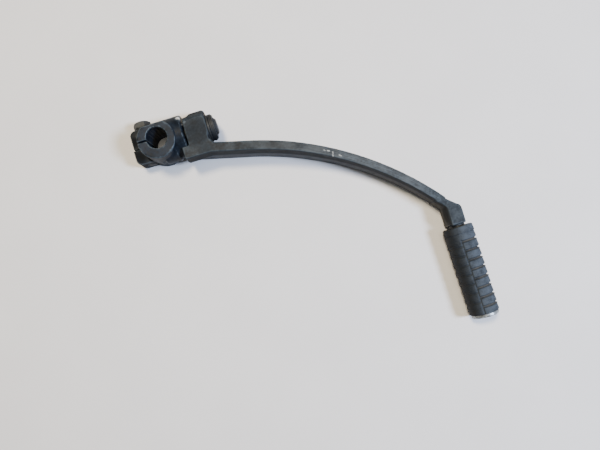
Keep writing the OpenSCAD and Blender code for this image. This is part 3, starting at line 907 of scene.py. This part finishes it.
@dataclass
class ArmForging(Forging):
    """Barrel, lug, curved blade and elbow, with road dust and painted bounce light at the foot of
    the sides, a worn strip, a chalky film with a painted sheen on top and painted shade in a band
    and in spots.

    A Span named _x or _z lies along that axis, and one named _tilt is of the normal's upward share.
    """

    node: str = "lever_arm"
    name: str = "arm_forging"
    body: Body = Body.ARM
    voxel: float = 0.39
    round_passes: int = 5
    rubs: tuple[Spot, ...] = (
        Spot((18.6, 5.2, 24.2), 1.8, 0.9),
        Spot((25.0, 4.0, 25.0), 5.0, 0.35),
        Spot((31.9, 2.5, 24.5), 2.6, 0.55),
        Spot((98.0, -38.6, 22.3), 5.0, 0.55),
    )
    # Painted shade: these spots darken the barrel round the pivot gap and the elbow's left face,
    # where the lamps leave shade.
    grime_shade_spots: tuple[Spot, ...] = (
        Spot((17.4, 1.5, 20.4), 2.6, 1.4),
        Spot((24.0, -3.0, 23.5), 12.0, 0.50),
        Spot((27.0, -15.0, 22.0), 8.0, 0.40),
        Spot((18.5, -6.0, 21.0), 3.5, 0.6),
        Spot((33.0, -8.0, 18.0), 4.5, 0.6),
        Spot((160.8, -98.0, 12.0), 7.0, 0.8),
    )
    lip_low: Point = (17.4, -3.9, 22.75)
    lip_high: Point = (21.2, 3.9, 23.46)
    side_tilt: Span = (0.5, 0.95)
    top_tilt: Span = (0.6, 0.95)
    flat_tilt: float = 0.9
    strip_start_x: Span = (88.0, 108.0)
    strip_end_x: Span = (157.0, 172.0)
    strip_half_w: float = 1.3
    strip_fade: float = 1.2
    strip_rub: float = 0.62
    # The band spans place a band of painted shade, the dust span dust with painted bounce light and
    # the haze spans a chalky film with a painted sheen.
    band_z: Span = (9.0, 15.0)
    band_shade: float = 0.7
    dust_z: Span = (4.0, 13.0)
    sheen_start_x: Span = (42.0, 105.0)
    sheen_end_x: Span = (142.0, 160.0)
    sheen_lost: float = 0.85

    def add_solids(self, work: bmesh.types.BMesh) -> None:
        """Adds the thin lip that closes the stop groove towards the top.

        Args:
            work: The copy of the solid.
        """
        low, high = np.array((self.lip_low, self.lip_high)) * MM
        size = Matrix.Diagonal((*(high - low), 1.0))
        place = Matrix.Translation((low + high) / 2.0)
        bmesh.ops.create_cube(work, size=1.0, matrix=place @ size)

    def strip(self, places: np.ndarray, normals: np.ndarray) -> np.ndarray:
        """Worn strip along the middle of the blade's top face.

        Args:
            places: Vertex places in millimetres.
            normals: Vertex normals.

        Returns:
            strip_rub near the arc on faces that lie flat, fading in and out along X.
        """
        run = smoothstep(*self.strip_start_x, places[:, 0])
        run *= 1.0 - smoothstep(*self.strip_end_x, places[:, 0])
        beside = near(self.across(places), self.strip_half_w, self.strip_fade)
        return self.strip_rub * (beside * run * (normals[:, 2] > self.flat_tilt))

    def wear(self, places: np.ndarray, normals: np.ndarray) -> dict[str, np.ndarray]:
        """Values of wear, dirt and painted light on the arm.

        Args:
            places: Vertex places in millimetres.
            normals: Vertex normals.

        Returns:
            The spots' values, raised by the worn strip and by a dark band of painted shade under
            the upper edge; road dust with painted bounce light at the foot of the sides; and a
            chalky film with a painted sheen on top, which begins along the blade and thins at the
            elbow.
        """
        x, z, tilt = places[:, 0], places[:, 2], normals[:, 2]
        side = 1.0 - smoothstep(*self.side_tilt, tilt)
        # Painted shade: a dark band on the upper part of the side faces, under the top edge.
        band = self.band_shade * side * smoothstep(*self.band_z, z)
        # Chalky film with a painted sheen on upward faces, from along the blade, thinning at the
        # elbow.
        haze_sheen = smoothstep(*self.sheen_start_x, x)
        haze_sheen *= 1.0 - self.sheen_lost * smoothstep(*self.sheen_end_x, x)
        spots = super().wear(places, normals)
        return {
            "rub": np.maximum(spots["rub"], self.strip(places, normals)),
            "grime_shade": np.maximum(spots["grime_shade"], band),
            # Dust with painted bounce light, fading out upwards from the foot of the side faces.
            "foot": side * (1.0 - smoothstep(*self.dust_z, z)),
            "haze_sheen": haze_sheen * smoothstep(*self.top_tilt, tilt),
        }


@dataclass
class PinchBolt:
    """Hexagon-headed bolt with a thread, turned about its axis along -Y."""

    head_af: float = 10.0
    head_h: float = 4.0
    face_r: float = 4.55
    face_slope: float = 1.7
    foot_r: float = 4.85
    foot_slope: float = 3.0
    shank_r: float = 2.96
    plain_len: float = 9.0
    thread_depth: float = 0.5
    thread_pitch: float = 1.0
    thread_flank: Span = (0.15, 0.85)
    run_out: float = 1.0
    tip_len: float = 0.7
    tip_slope: float = 0.9
    head_rows: tuple[float, ...] = (0.0, 0.25, 0.6, 1.0, 2.0, 3.6, 3.85)
    collar_rows: tuple[float, ...] = (0.001, 0.3)
    rows_per_turn: float = 12.0
    last_gap: float = 0.05
    columns: int = 96
    sharp_degrees: float = 32.0

    def rows(self, length: float) -> np.ndarray:
        """Heights of the rows: close together on the thread, and doubled under the head.

        Args:
            length: Whole length of the bolt.

        Returns:
            Heights from the head's outer face.
        """
        collar = [self.head_h + row for row in self.collar_rows]
        spacing = self.thread_pitch / self.rows_per_turn
        thread = np.arange(self.head_h + self.plain_len, length - self.last_gap, spacing)
        return np.concatenate([self.head_rows, [self.head_h], collar, thread, [length]])

    def radius(self, s: np.ndarray, angle: np.ndarray, length: float) -> np.ndarray:
        """Radius at each height and angle.

        Args:
            s: Heights from the head's outer face.
            angle: Angles of the columns.
            length: Whole length of the bolt.

        Returns:
            On the head, the least of the hexagon and the two cones that chamfer it; on the shank,
            its radius less a triangle wave of height minus angle, which winds the thread.
        """
        height = s[:, None]
        sector = np.mod(angle, math.pi / 3.0) - math.pi / 6.0
        flats = self.head_af / 2.0 / np.cos(sector)
        face = self.face_r + height * self.face_slope
        foot = self.foot_r + (self.head_h - height) * self.foot_slope
        head = np.minimum(np.minimum(flats[None, :], face), foot)
        turns = height / self.thread_pitch - angle[None, :] / (2.0 * math.pi)
        wave = np.abs(2.0 * np.mod(turns, 1.0) - 1.0)
        start = self.head_h + self.plain_len
        cut = self.thread_depth * smoothstep(*self.thread_flank, wave)
        cut *= smoothstep(start, start + self.run_out, height)
        tip = np.clip(height - (length - self.tip_len), 0.0, self.tip_len) * self.tip_slope
        return np.where(height <= self.head_h, head, self.shank_r - cut - tip)

    def build(self, material: bpy.types.Material) -> bpy.types.Object:
        """Makes the bolt on its CAD node's axis.

        Args:
            material: Its finish.

        Returns:
            The piece, which replaces its CAD node.
        """
        low, high = (np.array(corner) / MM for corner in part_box("pinch_bolt"))
        length = float(high[1] - low[1])
        middle = (low + high) / 2.0
        axis = Axis((middle[0], high[1], middle[2]), (0.0, -1.0, 0.0), (1.0, 0.0, 0.0))
        angle = columns_round(self.columns)
        s = self.rows(length)
        points = axis.turned(self.radius(s, angle, length), s, angle)
        mesh = grid_mesh("threaded_pinch_bolt", points, Ends.CAPPED)
        shade(mesh, self.sharp_degrees)
        return add_piece(mesh, material, Body.HUB, "pinch_bolt")


@dataclass
class PegRubber:
    """Ribbed rubber sleeve: rings of pads on two halves, set half a pitch apart."""

    radius: float = 9.8
    bore_r: float = 5.02
    length: float = 58.0
    collar_len: float = 8.6
    rib_count: int = 8
    groove_w: float = 2.2
    groove_depth: float = 1.3
    groove_margin: float = 0.5
    channel_w: float = 1.9
    channel_turn: float = 19.0
    channel_start: Span = (-0.4, 0.2)
    channel_depth: float = 0.4
    splay: float = 1.0
    wall_run: float = 1.0
    flare: float = 0.5
    taper: float = 0.2
    far_side: float = 0.45
    end_r: float = 0.9
    end_rows: tuple[float, ...] = (0.08, 0.2)
    face_from: float = 0.2
    face_to: float = 0.9
    face_rows: int = 4
    bore_rows: int = 12
    inner_crown: float = 0.3
    columns: int = 220
    rows: int = 250
    sharp_degrees: float = 50.0

    @property
    def pitch(self) -> float:
        """Distance from one groove to the next."""
        return (self.length - self.collar_len) / self.rib_count

    def grooves(self, s: np.ndarray, start: float, count: int) -> np.ndarray:
        """Depth share of a row of grooves, 1 on their floors.

        Args:
            s: Distance along the sleeve.
            start: Start of the first groove.
            count: Number of grooves.

        Returns:
            Depth share: near each groove's middle line it is 1, with sloped walls.
        """
        turn = np.mod(s - start + 0.5 * (self.pitch - self.groove_w), self.pitch) - 0.5 * self.pitch
        end = start + (count - 1) * self.pitch + self.groove_w
        inside = (s > start - self.groove_margin) & (s < end + self.groove_margin)
        return near(turn, self.groove_w / 2.0 - self.wall_run, self.wall_run) * inside

    def relief(self, s: np.ndarray, angle: np.ndarray) -> tuple[np.ndarray, np.ndarray]:
        """Outer radius and crown share.

        Args:
            s: Distances along the sleeve, one for each row.
            angle: Angles round it from straight up, one for each column.

        Returns:
            The radius for each row and column: the flared pads', less the grooves, the channel
            between the halves and a quarter round at both ends. And 1 on pads, 0 in grooves.
        """
        turned = angle[None, :] - math.radians(self.channel_turn)
        right = self.grooves(s, self.collar_len, self.rib_count)[:, None]
        left = self.grooves(s, self.collar_len + self.pitch / 2.0, self.rib_count - 1)[:, None]
        half = np.where(np.sin(turned) < 0.0, right, left * self.far_side)
        arc = np.abs(np.mod(turned + math.pi / 2.0, math.pi) - math.pi / 2.0) * self.radius
        channel = near(arc, self.channel_w / 2.0 - self.wall_run, self.wall_run)
        start, full = (self.collar_len + step for step in self.channel_start)
        channel = channel * smoothstep(start, full, s)[:, None]
        depth = np.maximum(half, channel * self.channel_depth)
        swell = np.mod(s - self.collar_len - self.groove_w, self.pitch)[:, None] / self.pitch
        pads = self.radius - self.flare * (1.0 - swell) - self.taper * (s / self.length)[:, None]
        to_end = np.clip(np.minimum(s, self.length - s)[:, None] / self.end_r, 0.0, 1.0)
        lip = self.end_r * (1.0 - np.sqrt(1.0 - (1.0 - to_end) ** 2))
        return pads - self.groove_depth * depth - lip, 1.0 - depth

    def build(self, material: bpy.types.Material) -> bpy.types.Object:
        """Makes the sleeve on the rod.

        Args:
            material: Its finish.

        Returns:
            The piece, which replaces its CAD node: its rows run along the outside, in over the end
            face, back through the bore and out over the first face.
        """
        low, high = (np.array(corner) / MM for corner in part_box("pedal_rubber"))
        lean = math.radians(self.splay)
        along = np.array([math.sin(lean), -math.cos(lean), 0.0])
        start = (low + high) / 2.0 - along * self.length / 2.0
        axis = Axis(tuple(start), tuple(along), (0.0, 0.0, 1.0))
        angle = columns_round(self.columns)
        even = np.linspace(0.0, self.length, self.rows)
        ends = np.array(self.end_rows)
        s = np.sort(np.concatenate([even, ends, self.length - ends]))
        outer, crown = self.relief(s, angle)
        face = np.linspace(self.face_from, self.face_to, self.face_rows)[:, None]
        radius = np.vstack([
            outer,
            self.bore_r + face[::-1] * (outer[-1:] - self.bore_r),
            np.full((self.bore_rows, self.columns), self.bore_r),
            self.bore_r + face * (outer[:1] - self.bore_r),
        ])
        heights = np.concatenate([
            s,
            np.full(self.face_rows, self.length),
            np.linspace(self.length, 0.0, self.bore_rows),
            np.zeros(self.face_rows),
        ])
        mesh = grid_mesh("ribbed_rubber", axis.turned(radius, heights, angle), Ends.LOOPED)
        shade(mesh, self.sharp_degrees)
        inner = np.full((len(heights) - len(s), self.columns), self.inner_crown)
        # The side value picks the side of the sleeve that gets the painted highlight and the one
        # that gets the painted shade tint.
        side = np.broadcast_to(-np.sin(angle - math.radians(self.channel_turn)), radius.shape)
        set_values(mesh, "crown", np.vstack([crown, inner]).ravel())
        set_values(mesh, "side", side.ravel())
        return add_piece(mesh, material, Body.ARM, "pedal_rubber")


@dataclass(frozen=True)
class CadPieces:
    """CAD nodes whose shape is right already: they only get their steel."""

    name: str
    steel: DullSteel
    nodes: tuple[str, ...]

    def dress(self) -> None:
        """Puts the steel in all material slots of every node, and reports it."""
        material = self.steel.material(self.name)
        for node in (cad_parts[name] for name in self.nodes):
            if not node.material_slots:
                node.data.materials.append(material)
            for slot in node.material_slots:
                slot.material = material
            log.info("%s: CAD node with %s", node.name, material.name)


# Studio


def look_rotation(back: np.ndarray, up: np.ndarray) -> tuple[float, float, float]:
    """Rotation of a camera or lamp whose back points to one side and whose top to another.

    Args:
        back: Direction from what it looks at to it.
        up: Direction that its top is nearest to.

    Returns:
        Euler angles of the matrix whose columns are side, top and back.
    """
    z = back / np.linalg.norm(back)
    x = np.cross(up, z)
    x /= np.linalg.norm(x)
    columns = np.stack([x, np.cross(z, x), z], axis=1)
    return tuple(Matrix(columns.tolist()).to_euler())


@dataclass(frozen=True)
class Lamp:
    """One soft round lamp. Its offset from the lever is to the picture's right and top, and up."""

    name: str
    offset: Point
    across: float
    watts: float
    colour: Colour

    def build(self, aim: np.ndarray, directions: np.ndarray) -> None:
        """Adds the light.

        Args:
            aim: Point of the lever that it shines at.
            directions: The picture's right, its top and straight up, one row each.
        """
        away = np.array(self.offset) @ directions
        light = bpy.data.lights.new(self.name, "AREA")
        light.shape = "DISK"
        light.size = self.across * MM
        light.energy = self.watts
        light.color = self.colour
        lamp = link_object(self.name, light)
        lamp.location = tuple((aim + away) * MM)
        lamp.rotation_euler = look_rotation(away, np.array([0.0, 1.0, 0.0]))


@dataclass
class Studio:
    """Plain floor, soft light and the photograph's view from above.

    The lamps are warm from the picture's upper left, cool from its right and faint from above.
    """

    eye: Point = (61.1, -96.2, 321.6)
    picture_right: Point = (0.956, -0.292, 0.0)
    picture_top: Point = (0.292, 0.956, 0.0)
    high: Point = (0.0, 0.0, 1.0)
    lens: float = 28.8
    sensor_w: float = 36.0
    nearest: float = 10.0
    image_w: float = 600.0
    image_h: float = 450.0
    nadir_px: tuple[float, float] = (297.0, 258.0)
    floor_side: float = 3000.0
    floor_drop: float = 0.02
    sky: Colour = (0.86, 0.92, 1.0)
    sky_strength: float = 0.12
    middle: Point = (85.0, -50.0, 10.0)
    lamps: tuple[Lamp, ...] = (
        Lamp("key", (-280.0, 300.0, 1100.0), 240.0, 18.6, (1.0, 0.86, 0.62)),
        Lamp("fill", (600.0, -80.0, 760.0), 220.0, 16.5, (0.65, 0.77, 1.0)),
        Lamp("top", (0.0, 60.0, 1100.0), 480.0, 2.6, (1.0, 0.94, 0.80)),
    )

    def camera(self) -> None:
        """Camera that looks straight down, shifted so that its foot point falls on its pixel."""
        data = bpy.data.cameras.new("camera")
        data.sensor_width = self.sensor_w
        data.lens = self.lens
        data.shift_x = (self.image_w / 2.0 - self.nadir_px[0]) / self.image_w
        data.shift_y = (self.nadir_px[1] - self.image_h / 2.0) / self.image_w
        data.clip_start = self.nearest * MM
        camera = link_object("camera", data)
        camera.location = tuple(np.array(self.eye) * MM)
        camera.rotation_euler = look_rotation(np.array(self.high), np.array(self.picture_top))
        bpy.context.scene.camera = camera

    def lights(self) -> None:
        """Adds the lamps and a faint sky."""
        directions = np.array((self.picture_right, self.picture_top, self.high))
        for lamp in self.lamps:
            lamp.build(np.array(self.middle), directions)
        world = bpy.data.worlds.new("sky")
        world.use_nodes = True
        background = world.node_tree.nodes["Background"]
        background.inputs["Color"].default_value = (*self.sky, 1.0)
        background.inputs["Strength"].default_value = self.sky_strength
        bpy.context.scene.world = world

    def floor(self) -> None:
        """Flat pale floor just under the lever."""
        half, low = self.floor_side / 2.0 * MM, -self.floor_drop * MM
        corners = [(-half, -half, low), (half, -half, low), (half, half, low), (-half, half, low)]
        mesh = bpy.data.meshes.new("floor")
        mesh.from_pydata(corners, [], [(0, 1, 2, 3)])
        mesh.materials.append(PalePaper().material("pale_paper"))
        ground = link_object("floor", mesh)

    def build(self) -> None:
        """Makes camera, lights and floor."""
        self.camera()
        self.lights()
        self.floor()


HUB_PAINT = WornPaint(edge_wear=0.55, shine=0.07, light=(0.0130, 0.0190, 0.0300))
ARM_PAINT = WornPaint(edge_wear=0.22, shine=0.08, light=(0.0300, 0.0380, 0.0460))
DULL_ZINC = DullSteel((0.022, 0.025, 0.028), (0.009, 0.010, 0.011), 0.58, 0.4)
SPRING_STEEL = DullSteel((0.016, 0.021, 0.028), (0.007, 0.008, 0.010), 0.56, 0.4)
TURNED_STEEL = DullSteel((0.016, 0.021, 0.029), (0.008, 0.009, 0.011), 0.58, 0.4)
BRONZE = DullSteel((0.06, 0.042, 0.024), (0.02, 0.016, 0.011), 0.50)
DISC_STEEL = DullSteel((0.36, 0.38, 0.39), (0.05, 0.05, 0.048), 0.40)
PAINTED_ROD = DullSteel((0.030, 0.034, 0.036), (0.012, 0.013, 0.014), 0.50, 0.15)
SPRINGS = (
    "lock_washer", "thrust_washer", "disc_spring_1", "disc_spring_2", "disc_spring_3", "circlip",
)
CAD_PIECES = (
    CadPieces("dull_zinc", DULL_ZINC, ("plain_washer", "retaining_washer", "end_screw")),
    CadPieces("oiled_spring_steel", SPRING_STEEL, SPRINGS),
    CadPieces(
        "turned_steel", TURNED_STEEL, ("pivot_pin", "stop_pin", "detent_ball", "detent_spring")
    ),
    CadPieces("bearing_bronze", BRONZE, ("pivot_bush",)),
    CadPieces("worn_disc_steel", DISC_STEEL, ("end_disc",)),
    CadPieces("painted_rod", PAINTED_ROD, ("peg_rod",)),
)


def main() -> None:
    """Builds the studio and every sub-assembly in turn."""
    logging.basicConfig(level=logging.INFO, format="%(name)s: %(message)s")
    Studio().build()
    HubForging().build(HUB_PAINT.material("worn_hub_paint_and_shade"))
    ArmForging().build(ARM_PAINT.material("worn_arm_paint_and_light"))
    PinchBolt().build(DULL_ZINC.material("bolt_zinc"))
    PegRubber().build(RubberWithPaintedLight().material("rubber_with_painted_light"))
    for pieces in CAD_PIECES:
        pieces.dress()


if __name__ == "__main__":
    main()
